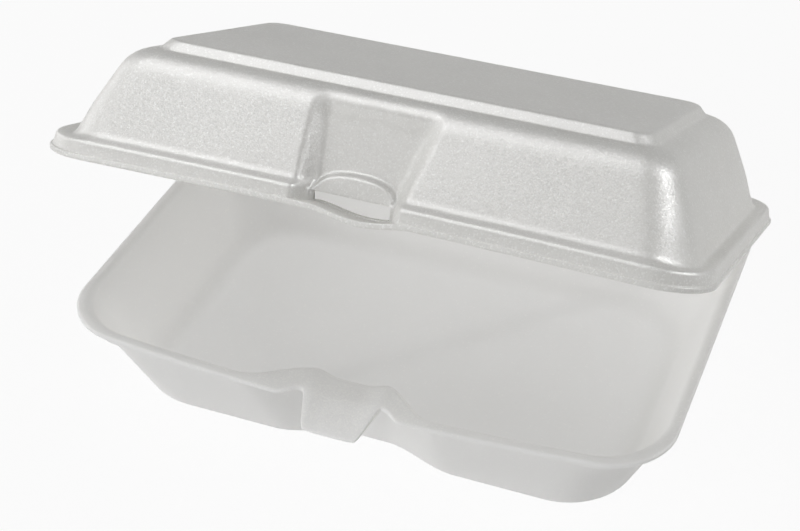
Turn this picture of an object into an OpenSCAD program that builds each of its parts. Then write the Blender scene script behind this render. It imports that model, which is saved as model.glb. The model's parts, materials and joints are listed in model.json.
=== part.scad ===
// Foam clamshell container: a tray and a lid formed from one foam sheet, folded along the back,
// with a tongue on the tray's front rim that locks into a hooded slot in the lid.

/* [Foam sheet] */
// Thickness of the foam in walls, floor and top
foam = 2.2; // [1.4:0.1:3.4]
// Thickness of the flattened rim lip
lip_t = 2.2; // [1.4:0.1:3]
// Rounding of the lip's edges
lip_round = 1; // [0.4:0.1:1.4]

/* [Tray] */
// Length of the tray's rim, left to right
tray_l = 228; // [180:1:280]
// Width of the tray's rim, crease to front corner
tray_w = 154; // [120:1:190]
// Height of the tray, foot to rim
tray_h = 45; // [34:1:60]
// How far the tray's walls lean in between rim and foot
tray_lean = 17.4; // [12:0.2:26]
// Corner radius of the tray's rim
tray_corner = 21; // [14:0.5:30]
// Corner radius of the tray's foot
tray_foot_corner = 26; // [14:0.5:34]
// Outside rounding of the foot
tray_foot_round = 5; // [2:0.5:9]
// Inside rounding between floor and walls
tray_floor_round = 12; // [6:0.5:18]
// Rounding where the rim rolls over into the tray
tray_roll = 4; // [2:0.25:6]
// Drop of the bead under the tray's lip
tray_bead_h = 3.2; // [1.5:0.1:6]
// How far the middle of the front rim bows out
front_bow = 5.1; // [0:0.1:10]
// How far the middle of the front rim sags
front_sag = 2.8; // [0:0.1:6]

/* [Lid] */
// Length of the lid's rim, left to right
lid_l = 240; // [190:1:292]
// Width of the lid's rim, crease to front
lid_w = 159.5; // [125:0.5:196]
// Height of the lid, rim to top panel
lid_h = 42.8; // [33:0.2:56]
// Height of the raised top panel above the ledge round it
panel_rise = 3.6; // [1.5:0.1:6]
// How far the lid's walls lean in between rim and shoulder
lid_lean = 20.8; // [14:0.2:28]
// Inset of the top panel from the lid's rim
panel_inset = 32; // [28:0.2:44]
// Corner radius of the lid's rim
lid_corner = 20; // [14:0.5:30]
// Corner radius of the top panel
panel_corner = 7; // [4:0.5:14]
// Rounding of the lid's shoulder
shoulder_round = 13; // [4:0.5:16]
// Height of the bead that stands on the lid's lip
lid_bead_h = 4.3; // [3.8:0.1:8]
// Width of the ledge between the lid's bead and its wall
lid_ledge = 4.4; // [2:0.1:6]
// Rounding between that ledge and the wall
lid_foot_round = 8; // [2:0.5:10]
// Rise of the middle of the lid's front rim
front_arch = 1.4; // [0:0.1:4]
// Angle at which the lid stands open
lid_open = 24.3; // [0:0.1:150]

/* [Latch] */
// Depth of the tray's front recess at the rim
tray_recess = 11; // [8:0.5:14]
// Depth of the tray's front recess at the foot
tray_recess_foot = 7.5; // [5:0.5:12]
// Half width of the tray's recess at the rim, where it is full depth
tray_recess_in = 12; // [8:0.5:16]
// Half width of the tray's recess at the foot, where it is full depth
tray_recess_in_foot = 6; // [3:0.5:12]
// Half width of the tray's recess at the rim, where it begins
tray_recess_out = 33; // [26:0.5:40]
// Half width of the tray's recess at the foot, where it begins
tray_recess_out_foot = 36; // [28:0.5:44]
// Setback of the rim's edge on which the tongue grows
notch = 4; // [2:0.25:6]
// Distance along the rim over which the setback fades
notch_run = 8; // [4:0.5:14]
// Distance between the tongue and that fading
notch_margin = 2; // [1:0.25:4]
// Dip of the rim in the middle of the front
saddle = 2.6; // [0:0.1:4]
// Half width of the dip's bottom
saddle_in = 5; // [2:0.5:9]
// Half width of the dip where it begins
saddle_out = 15; // [11:0.5:22]
// Length of the tongue from its crease to its tip
tongue_l = 13; // [8:0.5:18]
// Width of the tongue at its crease
tongue_w = 27; // [18:0.5:34]
// Width of the tongue at its tip
tongue_tip_w = 20; // [12:0.5:28]
// Thickness of the tongue
tongue_t = 1.4; // [0.8:0.1:2]
// Angle at which the tongue droops
tongue_droop = 24; // [0:1:40]
// Rounding of the tongue's bend
tongue_bend = 1; // [0.4:0.1:3]
// Depth of the lid's front recess at the rim
lid_recess = 10; // [6:0.5:13]
// Inset of the recess's floor from the lid's rim, at the shoulder
lid_recess_top = 24.8; // [22:0.2:27]
// Half width of the lid's recess at the rim, where it is full depth
lid_recess_in = 12; // [10:0.5:16]
// Half width of the lid's recess at the shoulder, where it is full depth
lid_recess_in_top = 17; // [13:0.5:22]
// Width of the lid's recess's slanted sides
lid_recess_side = 6; // [3:0.5:10]
// Height of the lid's slot
slot_h = 3; // [2.4:0.1:3.4]
// Rise of the slot's top edge in the middle of the recess
slot_lift = 0.6; // [0:0.1:2]
// Room for the tongue at each end of the slot
slot_room = 0.5; // [0.2:0.1:2]
// Dip of the lid's lip under the slot
lip_dip = 1.8; // [0:0.1:2.4]
// Half width of that dip
lip_dip_half = 17; // [12:0.5:24]
// How far the hood over the slot stands out
hood_out = 3; // [0:0.25:5]
// Height of the hood over the slot
hood_h = 7; // [4:0.5:11]
// Rounding of the hood's upper edge
hood_edge = 2.6; // [1:0.1:4]

/* [Hinge] */
// Width of the flattened crease strip on each half
crease_w = 2; // [1:0.1:4]
// Thickness of the flattened crease strip
crease_t = 0.8; // [0.5:0.1:1.6]
// Gap between the two halves at the crease
crease_gap = 0.3; // [0.2:0.05:0.6]

/* [Hidden] */
foam_white = [0.93, 0.93, 0.91];

// Chords in a wide and in a tight rounding of a section, and the radius that parts the two
wide_steps = 3;
tight_steps = 2;
tight_round = 1.5;
// Share of the room beside a corner that its rounding may take
arc_share = 0.9;
// Longest stretch between two rings of a wall
ring_gap = 10;
// Chords in a plan corner, and stretches along the front, the sides and the back
corner_steps = 6;
tongue_steps = 2;
tongue_side_steps = 5;
slot_steps = 4;
latch_steps = 5;
front_steps = 2;
side_steps = 2;
back_steps = 2;
// Rings across the tray's lip, over which its plan changes from the tongue's edge to the recessed wall,
// and stretches over the hood's upper edge
lip_steps = 4;
hood_steps = 2;

// Two heights nearer than this are level, as are two distances
tiny = 0.001;
// Reach of the tongue's side edges beyond its widths at tip and crease
tongue_tip_round = 0.5;
tongue_root_round = 1.5;
// Share of the rim's dip that the tongue takes, and the shares of the depth over which the dip fades
saddle_tongue_share = 0.4;
saddle_depth_shares = [0.05, 0.5];
// Share of the depth over which the tray's corner radius changes
corner_change_share = 0.35;
// Reach of the hood beyond each end of the slot
hood_reach = 1;
// Edge roundings of the beads: at the foot, along the top and, on the tray, towards the wall
bead_foot_round = 0.5;
bead_round = 1.4;
bead_top_round = 3;
// Run of the bead's slanted face, and of the narrow ledge beyond the tray's bead
bead_run = 0.7;
bead_ledge = 2.8;
bead_ledge_rise = 0.9;
// Width of the lip's flat, on the tray and on the lid
tray_lip = 1.5;
lid_lip = 1.9;
// Rounding of the panel's top edge and of the groove at its foot, and the run of the step
panel_round = 2.5;
groove_round = 2;
panel_run = 3;
// Width of the flat ring between a rounded foot or panel edge and the flat that fills it
flat_margin = 8;
tray_back = tray_w / 2;
hinge_y = tray_back + crease_w;
hinge_z = tray_h + crease_gap / 2;
shoulder_z = lid_h - panel_rise;
tip_half = tongue_tip_w / 2 - tongue_tip_round;
root_half = tongue_w / 2 + tongue_root_round;
slot_half = tongue_w / 2 + slot_room;
slot_z = lip_t + bead_foot_round;
slot_top = slot_z + slot_h;
hood_top = slot_top + slot_lift + hood_h;

function mix(a, b, t) = a + (b - a) * t;
function unit(v) = v / norm(v);
function flat(p) = [p[0], p[1]];
// Straight and smooth rise from 0 at lo to 1 at hi
function ramp(x, lo, hi) = min(1, max(0, (x - lo) / (hi - lo)));
function ease(x, lo, hi) =
    let (t = ramp(x, lo, hi))
    t * t * (3 - 2 * t);

// Arc that rounds corner q, which is [inset, height, radius], between its neighbours p and s, with which
// it shares the stretches between them by their radii
function fillet(p, q, s) =
    let (
        u = unit(flat(p) - flat(q)),
        v = unit(flat(s) - flat(q)),
        half = acos(u * v) / 2,
        room_p = norm(flat(p) - flat(q)) * q[2] / (q[2] + p[2]),
        room_s = norm(flat(s) - flat(q)) * q[2] / (q[2] + s[2]),
        cut = min(q[2] / tan(half), room_p * arc_share, room_s * arc_share),
        r = cut * tan(half),
        middle = flat(q) + unit(u + v) * r / sin(half),
        from = flat(q) + u * cut - middle,
        to = flat(q) + v * cut - middle,
        start = atan2(from[1], from[0]),
        steps = q[2] > tight_round ? wide_steps : tight_steps,
        turn = (atan2(to[1], to[0]) - start + 540) % 360 - 180
    )
    [for (k = [0 : steps])
        let (a = start + turn * k / steps)
        middle + r * [cos(a), sin(a)]];

// Path through corners, each rounded by its own radius and a radius of 0 left as a plain point
function rounded(corners) =
    let (last = len(corners) - 1)
    [
        for (k = [0 : last])
            if (corners[k][2] == 0) flat(corners[k])
            else each fillet(corners[k - 1], corners[k], corners[k + 1])
    ];

// The same path with its long stretches divided
function divided(path) =
    [
        path[0],
        for (k = [1 : len(path) - 1])
            let (steps = ceil(norm(path[k] - path[k - 1]) / ring_gap))
            for (j = [1 : steps]) mix(path[k - 1], path[k], j / steps)
    ];

function quarter(x, y, r, start) =
    [for (k = [1 : corner_steps])
        let (a = start + 90 * k / corner_steps)
        [x + r * cos(a), y + r * sin(a)]];

// Distances in equal steps from lo, which is left out, up to hi
function steps_to(lo, hi, steps) = [for (k = [1 : steps]) mix(lo, hi, k / steps)];
// Distances from the middle of the front at which a ring has points: for the tray along the tongue's tip,
// its side edge, the recess and up to the corner, and for the lid along the slot, the recess and on
function tray_half(straight) =
    [
        0,
        each steps_to(0, tip_half, tongue_steps),
        each steps_to(tip_half, root_half, tongue_side_steps),
        each steps_to(root_half, tray_recess_out_foot, latch_steps),
        each steps_to(tray_recess_out_foot, straight, front_steps)
    ];
function lid_half(straight) =
    let (reach = lid_recess_in_top + lid_recess_side)
    [
        0,
        each steps_to(0, slot_half, slot_steps),
        each steps_to(slot_half, reach, latch_steps),
        each steps_to(reach, straight, front_steps)
    ];
// Places of the slot's two ends among the points of a ring of the lid
front_middle = slot_steps + latch_steps + front_steps;
slot_ends = [front_middle - slot_steps, front_middle + slot_steps];

// Rounded rectangle of half length a, from y0 at the front to y1 at the back, with points at the distances
// of half along its front
function outline(a, y0, y1, r, half) =
    let (
        s = a - r,
        n = len(half) - 1
    )
    [
        for (k = [n : -1 : 1]) [-half[k], y0],
        for (k = [0 : n]) [half[k], y0],
        each quarter(s, y0 + r, r, -90),
        for (k = [1 : side_steps]) [a, mix(y0 + r, y1 - r, k / side_steps)],
        each quarter(s, y1 - r, r, 0),
        for (k = [1 : back_steps]) [mix(s, -s, k / back_steps), y1],
        each quarter(-s, y1 - r, r, 90),
        for (k = [1 : side_steps]) [-a, mix(y1 - r, y0 + r, k / side_steps)],
        for (k = [1 : corner_steps - 1])
            let (t = 180 + 90 * k / corner_steps)
            [-s + r * cos(t), y0 + r + r * sin(t)]
    ];

function quad(a, b, c, d) = [[a, b, c], [a, c, d]];
function middle(ring) = [for (p = ring) 1] * ring / len(ring);

// Closed solid through rings that all have the same number of points. A window, given as the places of
// its ends in a ring and the first of the two rings that bound it outside and inside, is left open.
module loft(rings, window = undef) {
    n = len(rings[0]);
    m = len(rings);
    function at(j, i) = j * n + i % n;
    function open(j, i) =
        window != undef && (j == window[2] || j == window[3]) && i >= window[0] && i < window[1];
    skin = [
        for (j = [0 : m - 2], i = [0 : n - 1])
            if (!open(j, i)) each quad(at(j, i), at(j + 1, i), at(j + 1, i + 1), at(j, i + 1))
    ];
    frame = window == undef ? [] : let (
        a = window[0],
        b = window[1],
        out = window[2],
        in = window[3]
    ) [
        for (i = [a : b - 1]) each concat(
            quad(at(out, i + 1), at(out, i), at(in + 1, i), at(in + 1, i + 1)),
            quad(at(out + 1, i), at(out + 1, i + 1), at(in, i + 1), at(in, i))
        ),
        each quad(at(out, a), at(out + 1, a), at(in, a), at(in + 1, a)),
        each quad(at(out + 1, b), at(out, b), at(in + 1, b), at(in, b))
    ];
    caps = [
        for (i = [0 : n - 1]) each [
            [n * m, at(0, i), at(0, i + 1)],
            [n * m + 1, at(m - 1, i + 1), at(m - 1, i)]
        ]
    ];
    points = concat([for (ring = rings) each ring], [middle(rings[0]), middle(rings[m - 1])]);
    polyhedron(points, concat(skin, frame, caps), convexity = 8);
}

// 1 on the front or back stretch of a ring that lies at y0, 0 elsewhere
function along_side(p, y0, straight) = abs(p[1] - y0) < tiny && abs(p[0]) < straight + tiny ? 1 : 0;

// Slopes of the tray's walls: inset gained for each millimetre down
tray_bead_z = lip_t + tray_bead_h;
tray_wall_d = tray_lip + bead_run + bead_ledge - foam / 2;
tray_slope = (tray_lean - tray_wall_d) / (tray_h - tray_bead_z - bead_ledge_rise);
tray_in = foam * sqrt(1 + tray_slope * tray_slope);
tray_roll_d = tray_wall_d + tray_in - tray_slope * (tray_bead_z + bead_ledge_rise);

// Half section of the tray from its foot over the rim to its floor: [inset, height from the rim, rounding]
function tray_section() =
    let (
        floor_d = tray_roll_d + tray_slope * (tray_h - foam),
        lip = steps_to(lip_round, tray_lip, lip_steps)
    )
    [
        [tray_lean + tray_foot_round + flat_margin, -tray_h, 0],
        [tray_lean, -tray_h, tray_foot_round],
        [tray_wall_d, -tray_bead_z - bead_ledge_rise, bead_top_round],
        [tray_lip + bead_run, -tray_bead_z, bead_round],
        for (k = [lip_steps - 1 : -1 : 0]) [lip[k], -lip_t, 0],
        [0, -lip_t, lip_round],
        [0, 0, lip_round],
        for (d = lip) [d, 0, 0],
        [tray_roll_d, 0, tray_roll],
        [floor_d, foam - tray_h, tray_floor_round],
        [floor_d + tray_floor_round + flat_margin, foam - tray_h, 0]
    ];

// A point of the tray's plan, moved by the recess, the notch, the tongue, the crease and the front's bow
function tray_point(p, d, z, straight) =
    let (
        down = -z / tray_h,
        side = abs(p[0]),
        front = along_side(p, d - tray_w / 2, straight),
        back = along_side(p, tray_w / 2 - d, straight),
        wall = ramp(d, lip_round, tray_lip),
        lip = 1 - wall,
        recess_in = mix(tray_recess_in, tray_recess_in_foot, down),
        recess_out = mix(tray_recess_out, tray_recess_out_foot, down),
        recess = mix(tray_recess, tray_recess_foot, down) * (1 - ease(side, recess_in, recess_out)),
        notch_in = tongue_w / 2 + notch_margin,
        setback = notch * (1 - ease(side, notch_in, notch_in + notch_run)),
        tongue = 1 - ease(side, tip_half, root_half),
        y = p[1] + front * mix(setback - tongue * tongue_l, recess, wall)
            + back * lip * (crease_w - crease_gap / 2),
        along = max(0, 1 - pow(2 * p[0] / tray_l, 2)),
        near = pow(min(1, max(0, -2 * y / tray_w)), 2),
        lean = along * near * (1 - down),
        lip_now = mix(mix(lip_t, tongue_t, tongue), crease_t, back),
        height = z * mix(1, lip_now / lip_t, (front + back) * lip),
        dip = saddle * front * (1 - ease(side, saddle_in, saddle_out))
            * (1 - ease(down, saddle_depth_shares[0], saddle_depth_shares[1])),
        past = notch - tray_w / 2 + tongue_bend - y,
        hang = front * sqrt(lip) * (1 - ease(side, tongue_w / 2, notch_in + notch / 2)),
        bend = hang * (past + sqrt(pow(past, 2) + pow(tongue_bend, 2))) / 2
    )
    [
        p[0],
        y + bend * (1 - cos(tongue_droop)) - front_bow * lean,
        tray_h + height - dip * mix(saddle_tongue_share, 1, wall) - bend * sin(tongue_droop)
            - front_sag * lean
    ];

function tray_ring(d, z) =
    let (
        rim_to_foot = ease(-z / tray_h, 0, corner_change_share),
        r = mix(tray_corner, tray_foot_corner, rim_to_foot) - max(0, d - tray_lean) / 2,
        straight = tray_l / 2 - d - r,
        plan = outline(tray_l / 2 - d, d - tray_w / 2, tray_w / 2 - d, r, tray_half(straight))
    )
    [for (p = plan) tray_point(p, d, z, straight)];

module tray() {
    color(foam_white) loft([for (s = divided(rounded(tray_section()))) tray_ring(s[0], s[1])]);
}

// Slopes of the lid's walls: inset gained for each millimetre up
lid_bead_z = lip_t + lid_bead_h;
lid_wall_d = lid_lip + bead_run + lid_ledge;
lid_slope = (lid_lean - lid_wall_d) / (shoulder_z - lid_bead_z - bead_ledge_rise);
lid_in = foam * sqrt(1 + lid_slope * lid_slope);
lid_inner_z = lid_bead_z - foam;

// Points on the outer and the inner face of the lid's bead, where the slot's edges lie
function slot_outside(z) = [mix(lid_lip, lid_lip + bead_run, (z - lip_t) / lid_bead_h), z, 0];
function slot_inside(z) = slot_outside(z) + [foam, -foam, 0];

// Points on the lid's outer wall at the heights of the hood's upper edge
function hood_outside() =
    [for (k = [0 : hood_steps])
        let (z = hood_top - hood_edge * (1 - k / hood_steps))
        [lid_wall_d + lid_slope * (z - lid_bead_z - bead_ledge_rise), z, 0]];

// Outer half section of the lid from its lip's edge to the top panel: [inset, height, rounding]
function lid_face() =
    [
        [0, lip_t, lip_round],
        [lid_lip, lip_t, bead_foot_round],
        slot_outside(slot_z),
        slot_outside(slot_top),
        [lid_lip + bead_run, lid_bead_z, bead_round],
        [lid_wall_d, lid_bead_z + bead_ledge_rise, lid_foot_round],
        each hood_outside(),
        [lid_lean, shoulder_z, shoulder_round],
        [panel_inset - panel_run, shoulder_z, groove_round],
        [panel_inset, lid_h, panel_round],
        [panel_inset + flat_margin, lid_h, 0]
    ];

// Half section of the lid from inside its top over the rim to the top panel
function lid_section() =
    let (
        wall_in = lid_in - lid_slope * foam,
        edges = hood_outside()
    )
    [
        [panel_inset + foam + flat_margin, lid_h - foam, 0],
        [panel_inset + foam / 2, lid_h - foam, panel_round / 2],
        [panel_inset - panel_run + foam, shoulder_z - foam, groove_round],
        [lid_lean + wall_in, shoulder_z - foam, shoulder_round - foam],
        for (k = [hood_steps : -1 : 0]) edges[k] + [wall_in, -foam, 0],
        [lid_wall_d + wall_in, lid_inner_z + bead_ledge_rise, lid_foot_round],
        [lid_lip + bead_run + foam, lid_inner_z, bead_round],
        slot_inside(slot_top),
        slot_inside(slot_z),
        [lid_lip + foam, 0, bead_foot_round],
        [0, 0, lip_round],
        each lid_face()
    ];

// Inset of the lid's outer face at a height
face_insets = [for (s = rounded(concat([[0, 0, 0]], lid_face()))) if (s[1] < shoulder_z) [s[1], s[0]]];
function inset_at(z) = lookup(z, face_insets);

// How far the hood stands out at a height up the recess and a distance from its middle
function hood(x, z) =
    let (
        arch = hood_h * sqrt(max(0, 1 - pow(x / (slot_half + hood_reach), 2))),
        edge = min(hood_edge, max(arch, tiny)),
        top = slot_top + slot_lift + arch
    )
    hood_out * ease(z, slot_z, slot_top) * (1 - ease(z, top - edge, top)) * edge / hood_edge;

// A point of the closed lid's plan, moved by the recess, the hood, the crease, the dip and the arch of the
// front rim; a point inside follows the face outside it, which lies higher by its cover of foam
function lid_point(p, d, z, cover, straight) =
    let (
        face_z = z + cover,
        up = min(1, face_z / shoulder_z),
        side = abs(p[0]),
        front = along_side(p, tray_back - lid_w + d, straight),
        back = along_side(p, tray_back - d, straight),
        wall = ease(d, lip_round / 2, lid_lip),
        full = mix(lid_recess_in, lid_recess_in_top, up),
        on_ledge = 1 - ease(d, lid_lean, panel_inset - panel_run),
        inside = front * wall * on_ledge * (1 - ease(side, full, full + lid_recess_side)),
        recess = mix(lid_recess, lid_recess_top, up) - inset_at(face_z),
        y = p[1] + inside * (recess - hood(p[0], face_z))
            + back * (1 - wall) * (crease_w - crease_gap / 2),
        under_hood = 1 - ease(face_z, slot_top, hood_top),
        lift = under_hood
            * (slot_lift * ease(face_z, slot_z, slot_top) + cover * ease(z, 0, slot_z - foam)),
        dip = front * lip_dip * pow(max(0, 1 - pow(p[0] / lip_dip_half, 2)), 2)
            * (1 - ease(face_z, slot_z, slot_top)),
        along = max(0, 1 - pow(2 * p[0] / lid_l, 2)),
        near = pow(max(0, (tray_back - lid_w / 2 - y) / (lid_w / 2)), 2),
        arch = front_arch * along * near * (1 - up),
        thin = mix(1, crease_t / lip_t, back * (1 - wall))
    )
    [p[0], y, z * thin + inside * lift - dip + arch];

function lid_ring(d, z, cover) =
    let (
        r = max(panel_corner / 2, mix(lid_corner, panel_corner, d / panel_inset)),
        straight = lid_l / 2 - d - r,
        plan = outline(lid_l / 2 - d, tray_back - lid_w + d, tray_back - d, r, lid_half(straight))
    )
    [for (p = plan) lid_point(p, d, z, cover, straight)];

// Place of the station of a path that is nearest to a point
function nearest(path, point) =
    let (gaps = [for (s = path) norm(s - flat(point))])
    [for (k = [0 : len(path) - 1]) if (gaps[k] == min(gaps)) k][0];

module closed_lid() {
    path = divided(rounded(lid_section()));
    edge = nearest(path, [0, lip_t - lip_round]);
    outside = nearest(path, slot_outside(slot_z));
    inside = nearest(path, slot_inside(slot_top));
    rings = [
        for (k = [0 : len(path) - 1])
            lid_ring(path[k][0], path[k][1], k < edge ? foam : 0)
    ];
    loft(rings, concat(slot_ends, [outside, inside]));
}

module lid() {
    color(foam_white)
        translate([0, hinge_y, hinge_z])
            rotate([-lid_open, 0, 0])
                translate([0, -hinge_y, crease_gap / 2]) closed_lid();
}

tray();
lid();
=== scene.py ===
import json
from math import acos, atan2, ceil, cos, degrees, pi, radians, sin, sqrt, tan

import bpy
import numpy as np
from mathutils import Matrix, Vector


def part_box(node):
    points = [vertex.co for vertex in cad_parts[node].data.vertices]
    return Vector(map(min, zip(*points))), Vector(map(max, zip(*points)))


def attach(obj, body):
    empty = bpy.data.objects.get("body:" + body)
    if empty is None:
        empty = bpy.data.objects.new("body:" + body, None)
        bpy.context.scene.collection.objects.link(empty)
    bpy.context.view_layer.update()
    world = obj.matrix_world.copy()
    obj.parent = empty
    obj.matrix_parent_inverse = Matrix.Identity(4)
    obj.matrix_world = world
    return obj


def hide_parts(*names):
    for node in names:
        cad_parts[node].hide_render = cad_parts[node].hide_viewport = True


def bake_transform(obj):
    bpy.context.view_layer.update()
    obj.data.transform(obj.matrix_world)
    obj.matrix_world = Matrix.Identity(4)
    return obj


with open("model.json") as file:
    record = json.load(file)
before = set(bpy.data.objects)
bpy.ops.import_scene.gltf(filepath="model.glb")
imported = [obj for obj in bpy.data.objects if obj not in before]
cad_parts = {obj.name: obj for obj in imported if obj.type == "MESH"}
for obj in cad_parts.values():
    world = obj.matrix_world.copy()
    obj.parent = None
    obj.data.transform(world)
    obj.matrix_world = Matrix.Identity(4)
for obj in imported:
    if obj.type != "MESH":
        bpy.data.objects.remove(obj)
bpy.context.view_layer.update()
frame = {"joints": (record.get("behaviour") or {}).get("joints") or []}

# Lengths are in millimetres up to the meshes, which are in metres
MM = 0.001

# Sizes that the frame gives
tray_low, tray_high = (np.array(c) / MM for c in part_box("tray"))
HINGE = frame["joints"][0]
_, hinge_y, hinge_z = (c / MM for c in HINGE["pos_m"])
LID_OPEN = -HINGE["range_deg"][0]
TRAY_L = tray_high[0] - tray_low[0]
TRAY_H = tray_high[2]
CREASE_W = 2.0
CREASE_T = 0.8
CREASE_GAP = 2 * (hinge_z - TRAY_H)
CREASE_REACH = CREASE_W - CREASE_GAP / 2
TRAY_BACK = hinge_y - CREASE_W
TRAY_W = 2 * TRAY_BACK

# Foam sheet and its rim lip
FOAM = 2.2
LIP_T = 2.2
LIP_ROUND = 1.0

# Tray
TRAY_LEAN = 17.4
TRAY_CORNER = 21.0
TRAY_FOOT_CORNER = 26.0
CORNER_CHANGE_SHARE = 0.35
TRAY_FOOT_ROUND = 5.0
TRAY_FLOOR_ROUND = 12.0
TRAY_ROLL = 4.0
TRAY_BEAD_H = 3.2
TRAY_LIP = 1.5
FRONT_BOW = 5.1
FRONT_SAG = 2.8

# Sideways shift of the tray's two ends, at the rim and at the foot, and where along x it sets in
TRAY_RIM_X = 0.5
TRAY_FOOT_X = -1.0
TRAY_SHIFT_IN = 40.0
TRAY_SHIFT_OUT = 80.0

# Lid
LID_L = 240.0
LID_W = 159.5
LID_H = 42.8
PANEL_RISE = 3.6
PANEL_INSET = 32.0
PANEL_RUN = 3.0
PANEL_ROUND = 2.5
GROOVE_ROUND = 2.0
LID_LEAN = 20.8
LID_FOOT_ROUND = 5.0
LID_LEDGE = 4.4
LID_LEDGE_RISE = 2.2
LID_CORNER = 20.0
PANEL_CORNER = 7.0
SHOULDER_ROUND = 13.0
SHOULDER_DROP = 1.8
LID_BEAD_H = 4.3
LID_LIP = 0.8
LID_BEAD_ROUND = 2.6
FRONT_ARCH = 1.4
FLAT_MARGIN = 8.0

# Ends of the lid: their walls stand further in at the foot, and the ledge before them lies lower
LID_END_TUCK = 1.2
LID_END_TUCK_Z = 10.0
LID_END_SINK = 2.5
LID_END_SINK_X = (98.0, 112.0)
LID_END_SINK_Z = 20.0

# Beads under the tray's lip and on the lid's lip
BEAD_FOOT_ROUND = 0.5
BEAD_ROUND = 1.4
BEAD_TOP_ROUND = 3.0
BEAD_RUN = 0.7
BEAD_LEDGE = 2.8
BEAD_LEDGE_RISE = 0.9

# Latch on the tray: recess, notches and tongue
TRAY_RECESS = 11.0
TRAY_RECESS_FOOT = 7.5
TRAY_RECESS_IN = 12.0
TRAY_RECESS_IN_FOOT = 6.0
TRAY_RECESS_OUT = 33.0
TRAY_RECESS_OUT_LEFT = 41.0
TRAY_RECESS_OUT_FOOT = 36.0
NOTCH = 4.0
NOTCH_RUN = 8.0
NOTCH_MARGIN = 2.0
TONGUE_L = 13.0
TONGUE_W = 27.0
TONGUE_TIP_W = 20.0
TONGUE_T = 1.4
TONGUE_DROOP = 24.0
TONGUE_TIP_ROUND = 0.5
TONGUE_ROOT_ROUND = 1.5
TONGUE_BEND = 1.0
SADDLE = 2.6
SADDLE_IN = 5.0
SADDLE_OUT = 15.0
SADDLE_TONGUE_SHARE = 0.4
SADDLE_DEPTH_SHARES = (0.05, 0.5)

# Latch on the lid: recess, slot and hood
LID_RECESS = 10.0
LID_RECESS_TOP = 24.8
LID_RECESS_IN = 12.1
LID_RECESS_IN_TOP = 18.5
LID_RECESS_SIDE = 7.0
LID_RECESS_FADE = (30.0, 38.0)
LID_RECESS_FADE_SHARE = 0.7
LID_LATCH_X = -2.6
LID_LATCH_X_TOP = -0.9
LID_LATCH_FADE = 60.0
SLOT_ROOM = 0.5
SLOT_H = 3.0
SLOT_LIFT = -0.5
SLOT_SINK = 1.2
LIP_DIP = 2.4
LIP_DIP_X = 6.0
LIP_DIP_HALF = 19.0
HOOD_OUT = 3.0
HOOD_H = 7.8
HOOD_HALF = 15.0
HOOD_POWER = 2.8
HOOD_EDGE = 1.6

# Fineness of the grids
ARC_STEP = 9.0
ARC_SHARE = 0.9
WALL_STEP = 2.5
HOOD_STEP = 0.6
HOOD_MARGIN = 2.0
LIP_STEPS = 24
CORNER_STEPS = 14
FRONT_STEPS = 14
SIDE_STEPS = 22
BACK_STEPS = 36
CAP_STEPS = 10
TONGUE_TIP_STEPS = 10
TONGUE_SIDE_STEPS = 18
TRAY_RECESS_STEPS = 20
SLOT_STEPS = 16
LID_RECESS_STEPS = 14

# Least height of the hood's arch, so that its edge never has no width
TINY = 0.001

SLOT_HALF = TONGUE_W / 2 + SLOT_ROOM
SLOT_Z = LIP_T + BEAD_FOOT_ROUND
SLOT_TOP = SLOT_Z + SLOT_H
SHOULDER_Z = LID_H - PANEL_RISE
LATCH_END = LID_RECESS_IN_TOP + LID_RECESS_SIDE
HOOD_END = SLOT_TOP + HOOD_H + HOOD_MARGIN


def mix(a, b, t):
    """From a at t = 0 to b at t = 1."""
    return a + (b - a) * t


def ramp(x, low, high):
    """0 up to low, 1 from high, straight in between."""
    return np.clip((x - low) / (high - low), 0, 1)


def ease(x, low, high):
    """The same, with a smooth start and end."""
    t = ramp(x, low, high)
    return t * t * (3 - 2 * t)


def fillet(before, corner, after):
    """Points of the arc that rounds a corner, which is (inset, height, radius)."""
    p, q, s = (np.array(c[:2], float) for c in (before, corner, after))
    reach_p, reach_s = np.linalg.norm(p - q), np.linalg.norm(s - q)
    u, v = (p - q) / reach_p, (s - q) / reach_s
    half = acos(np.clip(u @ v, -1, 1)) / 2
    room_p = reach_p * corner[2] / (corner[2] + before[2])
    room_s = reach_s * corner[2] / (corner[2] + after[2])
    cut = min(corner[2] / tan(half), ARC_SHARE * room_p, ARC_SHARE * room_s)
    radius = cut * tan(half)
    middle = q + (u + v) / np.linalg.norm(u + v) * radius / sin(half)
    first, last = q + u * cut - middle, q + v * cut - middle
    start = atan2(first[1], first[0])
    turn = (atan2(last[1], last[0]) - start + pi) % (2 * pi) - pi
    steps = max(2, ceil(abs(degrees(turn)) / ARC_STEP))
    angles = start + turn * np.arange(steps + 1) / steps
    return [middle + radius * np.array((cos(a), sin(a))) for a in angles]


def rounded(corners):
    """Path through corners, each rounded by its own radius. A radius of 0 leaves a plain point."""
    path = []
    for k, corner in enumerate(corners):
        if corner[2] == 0:
            path.append(np.array(corner[:2], float))
        else:
            path += fillet(corners[k - 1], corner, corners[k + 1])
    return path


def divided(path, step=WALL_STEP):
    """The same path with its long stretches divided."""
    points = [path[0]]
    for a, b in zip(path, path[1:]):
        steps = max(1, ceil(np.linalg.norm(b - a) / step))
        points += [mix(a, b, k / steps) for k in range(1, steps + 1)]
    return points


def front_half(straight, marks):
    """Distances from the middle of the front, divided up to each mark and on to straight."""
    stretches = [np.zeros(1)]
    for stop, steps in (*marks, (straight, FRONT_STEPS)):
        stretches.append(np.linspace(stretches[-1][-1], stop, steps + 1)[1:])
    return np.concatenate(stretches)


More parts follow.
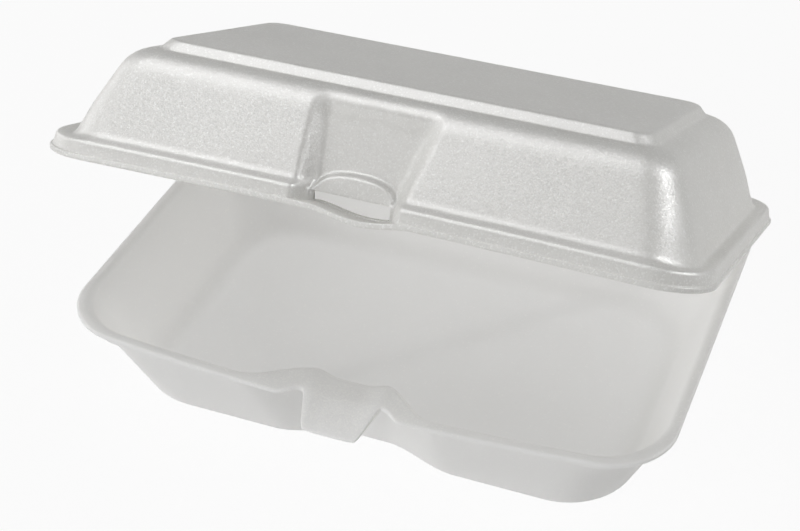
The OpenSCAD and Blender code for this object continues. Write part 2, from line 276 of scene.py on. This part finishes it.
def outline(a, y0, y1, r, marks):
    """Rounded rectangle of half length a, from y0 in front to y1 behind, with corners of radius r.
    Gives its points, and masks of its straight front and back."""
    s = a - r
    half = front_half(s, marks)
    front_x = np.concatenate([-half[:0:-1], half])
    quarter = pi / 2 * np.arange(1, CORNER_STEPS + 1) / CORNER_STEPS
    side_t = np.arange(1, SIDE_STEPS + 1) / SIDE_STEPS
    back_t = np.arange(1, BACK_STEPS + 1) / BACK_STEPS

    def row(x, y):
        return np.column_stack(np.broadcast_arrays(x, y))

    def corner(x, y, start):
        return row(x + r * np.cos(start + quarter), y + r * np.sin(start + quarter))

    points = np.vstack([
        row(front_x, y0),
        corner(s, y0 + r, -pi / 2),
        row(a, mix(y0 + r, y1 - r, side_t)),
        corner(s, y1 - r, 0),
        row(mix(s, -s, back_t), y1),
        corner(-s, y1 - r, pi / 2),
        row(-a, mix(y1 - r, y0 + r, side_t)),
        corner(-s, y0 + r, pi)[:-1],
    ])
    place = np.arange(len(points))
    back_start = len(front_x) + 2 * CORNER_STEPS + SIDE_STEPS - 1
    front = (place < len(front_x)).astype(float)
    back = ((place >= back_start) & (place <= back_start + BACK_STEPS)).astype(float)
    return points, front, back


def closing_rings(ring):
    """Rings that shrink from a ring to its middle, which closes a flat."""
    centre = ring.mean(0)
    return [centre + (ring - centre) * (1 - k / CAP_STEPS) for k in range(1, CAP_STEPS)], centre


def skin(rings, window=None):
    """Points and faces of a closed skin through rings. A window is cut through and framed. It is
    given by the places of its two ends in a ring, and by the first of its two rings outside and
    inside."""
    first, first_centre = closing_rings(rings[0])
    last, last_centre = closing_rings(rings[-1])
    rows = first[::-1] + rings + last
    n, m = len(rings[0]), len(rows)

    def at(j, i):
        return j * n + i % n

    cut = set()
    faces = []
    if window:
        a, b, out, into = window[0], window[1], window[2] + len(first), window[3] + len(first)
        cut = {(j, i) for j in (out, into) for i in range(a, b)}
        for i in range(a, b):
            faces.append((at(out, i), at(out, i + 1), at(into + 1, i + 1), at(into + 1, i)))
            faces.append((at(out + 1, i + 1), at(out + 1, i), at(into, i), at(into, i + 1)))
        faces.append((at(out + 1, a), at(out, a), at(into + 1, a), at(into, a)))
        faces.append((at(out, b), at(out + 1, b), at(into, b), at(into + 1, b)))
    for j in range(m - 1):
        for i in range(n):
            if (j, i) not in cut:
                faces.append((at(j, i + 1), at(j + 1, i + 1), at(j + 1, i), at(j, i)))
    for i in range(n):
        faces.append((n * m, at(0, i + 1), at(0, i)))
        faces.append((n * m + 1, at(m - 1, i), at(m - 1, i + 1)))
    return np.vstack([*rows, first_centre[None], last_centre[None]]), faces


# Tray

tray_bead_z = LIP_T + TRAY_BEAD_H
tray_wall_z = tray_bead_z + BEAD_LEDGE_RISE
tray_wall_d = TRAY_LIP + BEAD_RUN + BEAD_LEDGE - FOAM / 2
tray_slope = (TRAY_LEAN - tray_wall_d) / (TRAY_H - tray_wall_z)
tray_roll_d = tray_wall_d + FOAM * sqrt(1 + tray_slope ** 2) - tray_slope * tray_wall_z
tongue_tip = TONGUE_TIP_W / 2 - TONGUE_TIP_ROUND
tongue_root = TONGUE_W / 2 + TONGUE_ROOT_ROUND
TRAY_MARKS = (
    (tongue_tip, TONGUE_TIP_STEPS),
    (tongue_root, TONGUE_SIDE_STEPS),
    (TRAY_RECESS_OUT_LEFT, TRAY_RECESS_STEPS),
)


def tray_section():
    """Half section of the tray from its foot over the rim to its floor, as corners: inset, height
    from the rim, rounding."""
    floor_d = tray_roll_d + tray_slope * (TRAY_H - FOAM)
    lip_d = [mix(LIP_ROUND, TRAY_LIP, k / LIP_STEPS) for k in range(1, LIP_STEPS + 1)]
    return [
        (TRAY_LEAN + TRAY_FOOT_ROUND + FLAT_MARGIN, -TRAY_H, 0),
        (TRAY_LEAN, -TRAY_H, TRAY_FOOT_ROUND),
        (tray_wall_d, -tray_wall_z, BEAD_TOP_ROUND),
        (TRAY_LIP + BEAD_RUN, -tray_bead_z, BEAD_ROUND),
        *((d, -LIP_T, 0) for d in reversed(lip_d)),
        (0, -LIP_T, LIP_ROUND),
        (0, 0, LIP_ROUND),
        *((d, 0, 0) for d in lip_d),
        (tray_roll_d, 0, TRAY_ROLL),
        (floor_d, FOAM - TRAY_H, TRAY_FLOOR_ROUND),
        (floor_d + TRAY_FLOOR_ROUND + FLAT_MARGIN, FOAM - TRAY_H, 0),
    ]


def tray_ring(d, z):
    """Ring of the tray at an inset and a height, with its recess, notches, tongue, crease and
    bowed front."""
    down = -z / TRAY_H
    r = mix(TRAY_CORNER, TRAY_FOOT_CORNER, ease(down, 0, CORNER_CHANGE_SHARE))
    r = r - max(0, d - TRAY_LEAN) / 2
    points, front, back = outline(TRAY_L / 2 - d, d - TRAY_W / 2, TRAY_W / 2 - d, r, TRAY_MARKS)
    x, y = points.T
    side = np.abs(x)
    wall = ramp(d, LIP_ROUND, TRAY_LIP)
    lip = 1 - wall

    recess_in = mix(TRAY_RECESS_IN, TRAY_RECESS_IN_FOOT, down)
    recess_out = np.where(x < 0, TRAY_RECESS_OUT_LEFT, TRAY_RECESS_OUT)
    recess_out = mix(recess_out, TRAY_RECESS_OUT_FOOT, down)
    recess = mix(TRAY_RECESS, TRAY_RECESS_FOOT, down) * (1 - ease(side, recess_in, recess_out))
    notch_in = TONGUE_W / 2 + NOTCH_MARGIN
    notch = NOTCH * (1 - ease(side, notch_in, notch_in + NOTCH_RUN))
    tongue = 1 - ease(side, tongue_tip, tongue_root)
    y = y + front * mix(notch - tongue * TONGUE_L, recess, wall) + back * lip * CREASE_REACH

    along = np.maximum(0, 1 - (2 * x / TRAY_L) ** 2)
    near = np.clip(-2 * y / TRAY_W, 0, 1) ** 2
    lean = along * near * (1 - down)
    lip_t = mix(mix(LIP_T, TONGUE_T, tongue), CREASE_T, back)
    height = z * mix(1, lip_t / LIP_T, (front + back) * lip)
    saddle = SADDLE * front * (1 - ease(side, SADDLE_IN, SADDLE_OUT))
    saddle = saddle * (1 - ease(down, *SADDLE_DEPTH_SHARES))
    height = height - saddle * mix(SADDLE_TONGUE_SHARE, 1, wall)

    past = NOTCH - TRAY_W / 2 + TONGUE_BEND - y
    hang = front * np.sqrt(lip) * (1 - ease(side, TONGUE_W / 2, notch_in + NOTCH / 2))
    bend = hang * (past + np.sqrt(past ** 2 + TONGUE_BEND ** 2)) / 2
    droop = radians(TONGUE_DROOP)
    y = y + bend * (1 - cos(droop)) - FRONT_BOW * lean
    height = height - bend * sin(droop) - FRONT_SAG * lean
    shift = mix(TRAY_RIM_X, TRAY_FOOT_X, down) * ease(side, TRAY_SHIFT_IN, TRAY_SHIFT_OUT)
    return np.column_stack([x + shift, y, TRAY_H + height])


# Where the tongue's root creases, at the middle of the front
crease_y = NOTCH + TONGUE_BEND - TRAY_W / 2 - FRONT_BOW * (1 - 2 * NOTCH / TRAY_W) ** 2


def tray_form():
    """Points and faces of the tray."""
    return skin([tray_ring(*station) for station in divided(rounded(tray_section()))])


# Lid

lid_bead_z = LIP_T + LID_BEAD_H
lid_foot_z = lid_bead_z + LID_LEDGE_RISE
lid_wall_d = LID_LIP + BEAD_RUN + LID_LEDGE
lid_slope = (LID_LEAN - lid_wall_d) / (SHOULDER_Z - SHOULDER_DROP - lid_foot_z)
lid_wall_t = FOAM * sqrt(1 + lid_slope ** 2) - lid_slope * FOAM
LID_MARKS = ((SLOT_HALF, SLOT_STEPS), (LATCH_END, LID_RECESS_STEPS))


def on_bead(z):
    """Plain point of the lid's bead at a height, on its outer face."""
    return (mix(LID_LIP, LID_LIP + BEAD_RUN, (z - LIP_T) / LID_BEAD_H), z, 0)


def plain_wall(z):
    """Inset of the lid's straight wall at a height, carried on past its roundings."""
    return lid_wall_d + lid_slope * (z - lid_foot_z)


def lid_face():
    """Outer half section of the lid from its lip's edge to its top panel, as corners: inset,
    height, rounding."""
    return [
        (0, LIP_T, LIP_ROUND),
        (LID_LIP, LIP_T, BEAD_FOOT_ROUND),
        on_bead(SLOT_Z),
        (LID_LIP + BEAD_RUN, lid_bead_z, LID_BEAD_ROUND),
        (lid_wall_d, lid_foot_z, LID_FOOT_ROUND),
        (plain_wall(HOOD_END), HOOD_END, 0),
        (LID_LEAN, SHOULDER_Z - SHOULDER_DROP, SHOULDER_ROUND),
        (PANEL_INSET - PANEL_RUN, SHOULDER_Z, GROOVE_ROUND),
        (PANEL_INSET, LID_H, PANEL_ROUND),
        (PANEL_INSET + FLAT_MARGIN, LID_H, 0),
    ]


def lid_back():
    """Inner half section of the lid from inside its top to the lip's underside, in the same way."""
    return [
        (PANEL_INSET + FOAM + FLAT_MARGIN, LID_H - FOAM, 0),
        (PANEL_INSET + FOAM / 2, LID_H - FOAM, PANEL_ROUND / 2),
        (PANEL_INSET - PANEL_RUN + FOAM, SHOULDER_Z - FOAM, GROOVE_ROUND),
        (LID_LEAN + lid_wall_t, SHOULDER_Z - SHOULDER_DROP - FOAM, SHOULDER_ROUND - FOAM),
        (lid_wall_d + lid_wall_t, lid_foot_z - FOAM, LID_FOOT_ROUND),
        (LID_LIP + BEAD_RUN + FOAM, lid_bead_z - FOAM, BEAD_ROUND),
        *((d + FOAM, z - FOAM, 0) for d, z, _ in (on_bead(SLOT_TOP), on_bead(SLOT_Z))),
        (LID_LIP + FOAM, 0, BEAD_FOOT_ROUND),
        (0, 0, LIP_ROUND),
    ]


face_path = np.array([p for p in rounded([(0, 0, 0), *lid_face()]) if p[1] < SHOULDER_Z])


def inset_at(z):
    """Inset of the lid's outer face at a height."""
    return np.interp(z, face_path[:, 1], face_path[:, 0])


def hood_out(x, z):
    """How far the hood over the slot stands out at a height up the recess."""
    arch = HOOD_H * np.sqrt(np.maximum(0, 1 - np.abs(x / HOOD_HALF) ** HOOD_POWER))
    top = SLOT_TOP + SLOT_LIFT + arch
    edge = np.minimum(HOOD_EDGE, np.maximum(arch, TINY))
    return HOOD_OUT * ease(z, SLOT_Z, SLOT_TOP) * (1 - ease(z, top - edge, top)) * edge / HOOD_EDGE


def lid_ring(d, z, inner):
    """Ring of the closed lid at an inset and a height, with its recess, hood, crease, sunk ends and
    arched front rim."""
    r = max(PANEL_CORNER / 2, mix(LID_CORNER, PANEL_CORNER, d / PANEL_INSET))
    lid_front = TRAY_BACK - LID_W
    face_z = z + FOAM if inner else z
    up = min(1, face_z / SHOULDER_Z)
    tuck = LID_END_TUCK * ease(face_z, lid_bead_z, lid_foot_z)
    tuck *= 1 - ease(face_z, LID_END_TUCK_Z, SHOULDER_Z)
    points, front, back = outline(LID_L / 2 - d - tuck, lid_front + d, TRAY_BACK - d, r, LID_MARKS)
    x, y = points.T
    side = np.abs(x)
    wall = ease(d, LIP_ROUND / 2, LID_LIP)
    sink = LID_END_SINK * ease(face_z, lid_bead_z, lid_foot_z) * ease(side, *LID_END_SINK_X)
    sink = sink * (1 - ease(face_z, lid_foot_z, LID_END_SINK_Z))

    recess_in = mix(LID_RECESS_IN, LID_RECESS_IN_TOP, up)
    on_ledge = 1 - ease(d, LID_LEAN, PANEL_INSET - PANEL_RUN)
    inside = front * wall * on_ledge * (1 - ease(side, recess_in, recess_in + LID_RECESS_SIDE))
    recess = mix(LID_RECESS, LID_RECESS_TOP, up) - min(inset_at(face_z), plain_wall(face_z))
    recess *= 1 - LID_RECESS_FADE_SHARE * ease(face_z, *LID_RECESS_FADE)
    hood = hood_out(x, face_z)
    y = y + inside * (recess - hood) + back * (1 - wall) * CREASE_REACH

    hood_top = SLOT_TOP + HOOD_H
    lift = SLOT_LIFT * ease(face_z, SLOT_Z, SLOT_TOP) * (1 - ease(face_z, SLOT_TOP, hood_top))
    if inner:
        lift += FOAM * ease(z, 0, SLOT_Z - FOAM) * (1 - ease(face_z, SLOT_TOP, hood_top))
    dip = front * LIP_DIP * np.maximum(0, 1 - ((x - LIP_DIP_X) / LIP_DIP_HALF) ** 2) ** 2
    dip = dip + SLOT_SINK * inside * ease(face_z, LIP_T / 2, LIP_T)
    dip = dip * (1 - ease(face_z, SLOT_Z, SLOT_TOP))

    along = np.maximum(0, 1 - (2 * x / LID_L) ** 2)
    near = np.maximum(0, (TRAY_BACK - LID_W / 2 - y) / (LID_W / 2)) ** 2
    arch = FRONT_ARCH * along * near * (1 - up)
    thin = mix(1, CREASE_T / LIP_T, back * (1 - wall))
    shift = front * mix(LID_LATCH_X, LID_LATCH_X_TOP, up)
    shift = shift * (1 - ease(side, LATCH_END, LID_LATCH_FADE))
    return np.column_stack([x + shift, y, z * thin + inside * lift - dip - sink + arch])


def opened(points):
    """Points of the closed lid, turned about the crease to where the lid stands at rest."""
    t = radians(LID_OPEN)
    y = points[:, 1] - hinge_y
    z = points[:, 2] + CREASE_GAP / 2
    turned_y = hinge_y + cos(t) * y + sin(t) * z
    turned_z = hinge_z - sin(t) * y + cos(t) * z
    return np.column_stack([points[:, 0], turned_y, turned_z])


def lid_form():
    """Points and faces of the lid where it stands at rest, with the slot cut through its bead."""
    section = rounded([*lid_back(), *lid_face()])
    slot_low, slot_high = (np.array(on_bead(z)[:2]) for z in (SLOT_Z, SLOT_TOP))

    def place(path, point):
        return min(range(len(path)), key=lambda k: np.linalg.norm(path[k] - point))

    path = []
    for k, station in enumerate(section):
        step = HOOD_STEP if SLOT_TOP < station[1] <= HOOD_END else WALL_STEP
        path += [station] if k == 0 else divided([section[k - 1], station], step)[1:]
    inward = np.array((FOAM, -FOAM))
    spans = [(slot_low, slot_high), (slot_high + inward, slot_low + inward)]
    for a, b in spans:
        path = path[:place(path, a) + 1] + path[place(path, b):]
    outside, inside = (place(path, a) for a, _ in spans)
    middle = sum(steps for _, steps in LID_MARKS) + FRONT_STEPS
    edge = place(path, np.array((0, LIP_T / 2)))
    rings = [lid_ring(d, z, k < edge) for k, (d, z) in enumerate(path)]
    points, faces = skin(rings, (middle - SLOT_STEPS, middle + SLOT_STEPS, outside, inside))
    return opened(points), faces


# Fold of the crease between tray and lid

FOLD_OUT = 0.85
FOLD_IN = 0.25
FOLD_STEPS = 12


def fold_form():
    """Points and faces of the fold, a thin strip bent round the hinge's axis."""
    half = TRAY_L / 2 - TRAY_CORNER
    angles = np.radians(np.linspace(-90, 90 - LID_OPEN, FOLD_STEPS + 1))
    axis = np.array((hinge_y, hinge_z))
    arc = np.column_stack([np.cos(angles), np.sin(angles)])
    ring = np.vstack([axis + FOLD_OUT * arc, axis + FOLD_IN * arc[::-1]])
    n = len(ring)
    ends = np.linspace(-half, half, BACK_STEPS + 1)
    points = np.vstack([np.column_stack([np.full(n, x), ring]) for x in ends])
    faces = [
        (j * n + i, j * n + (i + 1) % n, (j + 1) * n + (i + 1) % n, (j + 1) * n + i)
        for j in range(BACK_STEPS)
        for i in range(n)
    ]
    faces.append(tuple(reversed(range(n))))
    faces.append(tuple(BACK_STEPS * n + i for i in range(n)))
    return points, faces


# Foam skin: its shader takes places in metres with the parts at rest, and scales per metre. A pair
# holds the limits between which a mask or a measure changes.

RISE = (0.0, 1.0)
FALL = (1.0, 0.0)
LID_FROM = (0.044, 0.048)
PRESSED_X = (0.030, 0.046)
PRESSED_Y = (-0.072, -0.066)
PRESSED_FROM = (0.034, 0.038)
PRESSED_TO = (0.050, 0.052)
CELL_SCALE = 2000.0
GRAIN_SCALE = 1500.0
GRAIN_DETAIL = 2.0
GRAIN_ROUGHNESS = 0.6
GRAIN_SHARE = 0.7
CLOUD_SCALE = 28.0
CLOUD_DETAIL = 3.0
CLOUD_ROUGHNESS = 0.5
CLOUD_SHARE = 0.3
NOISE_MIDDLE = 0.5
# Glinting cells: the share of light tone that their colour takes (GLINT_SHARE) is a painted
# highlight
GLINT_FROM_TRAY = 0.985
GLINT_FROM_LID = 0.88
GLINT_PRESSED = 0.25
GLINT_SHARE = 0.8
TONE_LIMITS = (0.35, 0.65)
TONE_DARK = (0.74, 0.733, 0.712, 1)
TONE_LIGHT = (0.86, 0.855, 0.835, 1)
TONE_TRAY = (0.91, 0.91, 0.917, 1)
TONE_TRAY_SHARE = 0.85
# Light tone painted into glinting cells as a highlight, and the tone of the crease line
TONE_GLINT = (0.98, 0.98, 0.965, 1)
CREASE_WAVE = 0.005
CREASE_WAVE_SCALE = 110.0
CREASE_LINE = (0.0001, 0.0005)
CREASE_X = (0.0125, 0.0145)
CREASE_BREAKS = (0.42, 0.56)
CREASE_BREAK_SCALE = 420.0
ROUGH_LIMITS = (0.3, 0.7)
ROUGH = (0.37, 0.49)
ROUGH_TRAY = 0.10
ROUGH_PRESSED = 0.15
ROUGH_GLINT = 0.06
BUMP_STRENGTH = 0.35
BUMP_DISTANCE = 0.0002
FACET_TILT = 0.12
SPECULAR_TRAY = 0.35
SPECULAR_LID = 0.8
THROUGH_TONE = (0.95, 0.945, 0.93, 1)
THROUGH_TRAY = 0.437
THROUGH_LID = 0.35


def foam_material():
    """Satin foam skin: fine cells that glint, partly by a painted highlight in their colour, faint
    clouds, and a coarser skin where the latch is pressed."""
    material = bpy.data.materials.new("foam_white")
    material.use_nodes = True
    nodes, links = material.node_tree.nodes, material.node_tree.links
    shader = nodes["Principled BSDF"]
    place = nodes.new("ShaderNodeTexCoord").outputs["Object"]

    def feed(socket, value):
        if isinstance(value, bpy.types.NodeSocket):
            links.new(value, socket)
        else:
            socket.default_value = value

    def texture(kind, scale, **settings):
        node = nodes.new(kind)
        node.inputs["Scale"].default_value = scale
        for name, value in settings.items():
            node.inputs[name].default_value = value
        links.new(place, node.inputs["Vector"])
        return node

    def noise(scale, **settings):
        return texture("ShaderNodeTexNoise", scale, **settings).outputs["Fac"]

    def math(operation, *values, kind="ShaderNodeMath", result="Value"):
        node = nodes.new(kind)
        node.operation = operation
        for socket, value in zip(node.inputs, values):
            feed(socket, value)
        return node.outputs[result]

    def vector_math(operation, *values):
        return math(operation, *values, kind="ShaderNodeVectorMath", result="Vector")

    def span(value, limits, ends, smooth=False):
        """Takes a value from between its limits to between two ends."""
        node = nodes.new("ShaderNodeMapRange")
        node.interpolation_type = "SMOOTHSTEP" if smooth else "LINEAR"
        names = ("Value", "From Min", "From Max", "To Min", "To Max")
        for name, number in zip(names, (value, *limits, *ends)):
            feed(node.inputs[name], number)
        return node.outputs["Result"]

    def tinted(share, base, tone):
        """A base colour with a share of a tone mixed in."""
        node = nodes.new("ShaderNodeMix")
        node.data_type = "RGBA"
        links.new(share, node.inputs["Factor"])
        links.new(base, node.inputs["A"])
        node.inputs["B"].default_value = tone
        return node.outputs["Result"]

    cells = texture("ShaderNodeTexVoronoi", CELL_SCALE).outputs["Color"]
    grain = noise(GRAIN_SCALE, Detail=GRAIN_DETAIL, Roughness=GRAIN_ROUGHNESS)
    cloud = noise(CLOUD_SCALE, Detail=CLOUD_DETAIL, Roughness=CLOUD_ROUGHNESS)
    chance = nodes.new("ShaderNodeSeparateColor")
    links.new(cells, chance.inputs["Color"])
    where = nodes.new("ShaderNodeSeparateXYZ")
    links.new(place, where.inputs["Vector"])
    x, y, z = (where.outputs[c] for c in "XYZ")
    side = math("ABSOLUTE", x)
    on_lid = span(z, LID_FROM, RISE)

    def by_part(tray_value, lid_value):
        return span(on_lid, RISE, (tray_value, lid_value))

    # Pressed zone round the latch, on the tray's front rim and tongue
    across = span(side, PRESSED_X, FALL, smooth=True)
    forward = span(y, PRESSED_Y, FALL, smooth=True)
    above = span(z, PRESSED_FROM, RISE, smooth=True)
    below = span(z, PRESSED_TO, FALL, smooth=True)
    pressed = math("MULTIPLY", math("MULTIPLY", across, forward), math("MULTIPLY", above, below))

    more = math("MULTIPLY", pressed, GLINT_PRESSED)
    glint_from = math("SUBTRACT", by_part(GLINT_FROM_TRAY, GLINT_FROM_LID), more)
    glint = math("GREATER_THAN", chance.outputs["Red"], glint_from)
    speck = math("ADD", math("MULTIPLY", grain, GRAIN_SHARE), math("MULTIPLY", cloud, CLOUD_SHARE))
    tone = nodes.new("ShaderNodeValToRGB")
    stops = zip(tone.color_ramp.elements, TONE_LIMITS, (TONE_DARK, TONE_LIGHT))
    for element, position, colour in stops:
        element.position, element.color = position, colour
    links.new(speck, tone.inputs["Fac"])
    plain = tinted(by_part(TONE_TRAY_SHARE, 0.0), tone.outputs["Color"], TONE_TRAY)

    # Broken crease across the root of the tongue
    wave = math("MULTIPLY", math("SUBTRACT", noise(CREASE_WAVE_SCALE), NOISE_MIDDLE), CREASE_WAVE)
    off = math("ABSOLUTE", math("SUBTRACT", math("ADD", y, wave), crease_y * MM))
    line = math("MULTIPLY", span(off, CREASE_LINE, FALL), span(side, CREASE_X, FALL))
    broken = span(noise(CREASE_BREAK_SCALE), CREASE_BREAKS, RISE)
    crease = math("MULTIPLY", math("MULTIPLY", line, broken), pressed)
    # Glinting cells are painted lighter, a painted highlight beside their lower roughness and
    # leaning facets; the crease line takes the same light tone
    bright = math("MAXIMUM", math("MULTIPLY", glint, GLINT_SHARE), crease)
    links.new(tinted(bright, plain, TONE_GLINT), shader.inputs["Base Color"])

    rough = math("ADD", span(grain, ROUGH_LIMITS, ROUGH), by_part(ROUGH_TRAY, 0.0))
    rough = math("ADD", rough, math("MULTIPLY", pressed, ROUGH_PRESSED))
    rough = math("SUBTRACT", rough, math("MULTIPLY", glint, ROUGH_GLINT))
    links.new(rough, shader.inputs["Roughness"])
    links.new(by_part(SPECULAR_TRAY, SPECULAR_LID), shader.inputs["Specular IOR Level"])

    # Uneven skin, in which every cell is a facet that leans its own way
    uneven = nodes.new("ShaderNodeBump")
    uneven.inputs["Strength"].default_value = BUMP_STRENGTH
    uneven.inputs["Distance"].default_value = BUMP_DISTANCE
    links.new(grain, uneven.inputs["Height"])
    lean = vector_math("SUBTRACT", cells, (NOISE_MIDDLE,) * 3)
    tilted = vector_math("MULTIPLY_ADD", lean, (FACET_TILT,) * 3, uneven.outputs["Normal"])
    links.new(vector_math("NORMALIZE", tilted), shader.inputs["Normal"])

    # Light that comes through the foam
    through = nodes.new("ShaderNodeBsdfTranslucent")
    through.inputs["Color"].default_value = THROUGH_TONE
    both = nodes.new("ShaderNodeMixShader")
    links.new(by_part(THROUGH_TRAY, THROUGH_LID), both.inputs["Fac"])
    links.new(shader.outputs["BSDF"], both.inputs[1])
    links.new(through.outputs["BSDF"], both.inputs[2])
    links.new(both.outputs["Shader"], nodes["Material Output"].inputs["Surface"])
    return material


def piece(name, form, material):
    """Smooth mesh object of a form, which is points in millimetres and faces."""
    points, faces = form
    mesh = bpy.data.meshes.new(name)
    mesh.from_pydata((points * MM).tolist(), [], faces)
    mesh.polygons.foreach_set("use_smooth", [True] * len(mesh.polygons))
    mesh.materials.append(material)
    mesh.validate()
    mesh.update()
    made = bpy.data.objects.new(name, mesh)
    bpy.context.scene.collection.objects.link(made)
    return made


foam = foam_material()

tray = piece("tray_shell", tray_form(), foam)
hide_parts("tray")
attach(tray, "tray")

lid = piece("lid_shell", lid_form(), foam)
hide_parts("lid")
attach(lid, "lid")

fold = piece("hinge_fold", fold_form(), foam)
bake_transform(fold)


# Floor, light and camera

def white_to_camera(nodes, links, lit, white_share):
    """Mixes a lit shader with plain white, which only the camera and mirrored or refracted rays
    see."""
    rays = nodes.new("ShaderNodeLightPath")
    seen = rays.outputs["Is Camera Ray"]
    for name in ("Is Glossy Ray", "Is Transmission Ray"):
        either = nodes.new("ShaderNodeMath")
        either.operation = "MAXIMUM"
        links.new(seen, either.inputs[0])
        links.new(rays.outputs[name], either.inputs[1])
        seen = either.outputs["Value"]
    share = nodes.new("ShaderNodeMath")
    share.operation = "MULTIPLY"
    share.inputs[1].default_value = white_share
    links.new(seen, share.inputs[0])
    on_world = lit.node.type == "BACKGROUND"
    white = nodes.new("ShaderNodeBackground" if on_world else "ShaderNodeEmission")
    white.inputs["Color"].default_value = (1, 1, 1, 1)
    white.inputs["Strength"].default_value = 1.0
    both = nodes.new("ShaderNodeMixShader")
    links.new(share.outputs["Value"], both.inputs["Fac"])
    links.new(lit, both.inputs[1])
    links.new(white.outputs[0], both.inputs[2])
    return both.outputs["Shader"]


FLOOR_HALF = 4.0
FLOOR_CORNERS = ((-1, -1), (1, -1), (1, 1), (-1, 1))
FLOOR_TONE = (0.9, 0.9, 0.9, 1)
FLOOR_WHITE_SHARE = 0.94
WORLD_TONE = (0.96, 0.98, 1.0, 1)
WORLD_STRENGTH = 0.18

floor_mesh = bpy.data.meshes.new("floor")
floor_mesh.from_pydata(
    [(x * FLOOR_HALF, y * FLOOR_HALF, 0) for x, y in FLOOR_CORNERS], [], [(0, 1, 2, 3)]
)
floor = bpy.data.objects.new("floor", floor_mesh)
bpy.context.scene.collection.objects.link(floor)
floor_material = bpy.data.materials.new("floor_pale")
floor_material.use_nodes = True
floor_nodes, floor_links = floor_material.node_tree.nodes, floor_material.node_tree.links
floor_nodes.remove(floor_nodes["Principled BSDF"])
matte = floor_nodes.new("ShaderNodeBsdfDiffuse")
matte.inputs["Color"].default_value = FLOOR_TONE
floor_links.new(
    white_to_camera(floor_nodes, floor_links, matte.outputs["BSDF"], FLOOR_WHITE_SHARE),
    floor_nodes["Material Output"].inputs["Surface"],
)
floor_mesh.materials.append(floor_material)

world = bpy.data.worlds.new("studio")
bpy.context.scene.world = world
world.use_nodes = True
world_nodes, world_links = world.node_tree.nodes, world.node_tree.links
sky = world_nodes["Background"]
sky.inputs["Color"].default_value = WORLD_TONE
sky.inputs["Strength"].default_value = WORLD_STRENGTH
world_links.new(
    white_to_camera(world_nodes, world_links, sky.outputs["Background"], 1.0),
    world_nodes["World Output"].inputs["Surface"],
)

AIM = Vector((0, 0, 0.06))


def lamp(name, azimuth, elevation, distance, size, power, shine_only=False):
    """Square soft lamp that shines on the object from an azimuth, 0 being the front, and an
    elevation. With shine_only it makes highlights and no other light."""
    light = bpy.data.lights.new(name, "AREA")
    light.shape = "SQUARE"
    light.size = size
    light.energy = power
    made = bpy.data.objects.new(name, light)
    a, e = radians(azimuth), radians(elevation)
    made.location = AIM + distance * Vector((sin(a) * cos(e), -cos(a) * cos(e), sin(e)))
    made.rotation_euler = (AIM - made.location).to_track_quat("-Z", "Y").to_euler()
    made.visible_diffuse = not shine_only
    made.visible_transmission = not shine_only
    bpy.context.scene.collection.objects.link(made)


lamp("front", azimuth=-35, elevation=13, distance=1.6, size=1.0, power=14.8)
lamp("right", azimuth=108, elevation=11, distance=1.6, size=0.5, power=5.4)
lamp("shine_top", azimuth=-99, elevation=67, distance=1.5, size=1.2, power=60, shine_only=True)
lamp("shine_right", azimuth=112, elevation=44, distance=1.6, size=0.5, power=50, shine_only=True)
lamp("shine_left", azimuth=-103, elevation=16, distance=1.6, size=1.0, power=13, shine_only=True)

# The camera, as fitted to the photograph: angles in degrees, lengths in millimetres, and the focal
# length in pixels of an image that is IMAGE_W wide
IMAGE_W = 800
SENSOR = 36.0
VIEW_AZIMUTH = 21.752
VIEW_ELEVATION = 37.439
VIEW_ROLL = -0.592
VIEW_DISTANCE = 660.65
VIEW_FOCAL = 1740.504
VIEW_RIGHT = 7.666
VIEW_UP = -0.041
CLIP_START = 0.01

azimuth, elevation, roll = (radians(a) for a in (VIEW_AZIMUTH, VIEW_ELEVATION, VIEW_ROLL))
ahead = Vector((-sin(azimuth) * cos(elevation), cos(azimuth) * cos(elevation), -sin(elevation)))
level = Vector((cos(azimuth), sin(azimuth), 0))
upright = level.cross(ahead)
right = level * cos(roll) + upright * sin(roll)
up = upright * cos(roll) - level * sin(roll)
eye = Vector((0, 0, TRAY_H)) - right * VIEW_RIGHT - up * VIEW_UP - ahead * VIEW_DISTANCE
lens = bpy.data.cameras.new("camera")
lens.sensor_fit = "HORIZONTAL"
lens.sensor_width = SENSOR
lens.lens = VIEW_FOCAL / IMAGE_W * SENSOR
lens.clip_start = CLIP_START
camera = bpy.data.objects.new("camera", lens)
turn = Matrix((right, up, -ahead)).transposed().to_4x4()
camera.matrix_world = Matrix.Translation(eye * MM) @ turn
bpy.context.scene.collection.objects.link(camera)
bpy.context.scene.camera = camera
bpy.context.scene.view_settings.view_transform = "Standard"
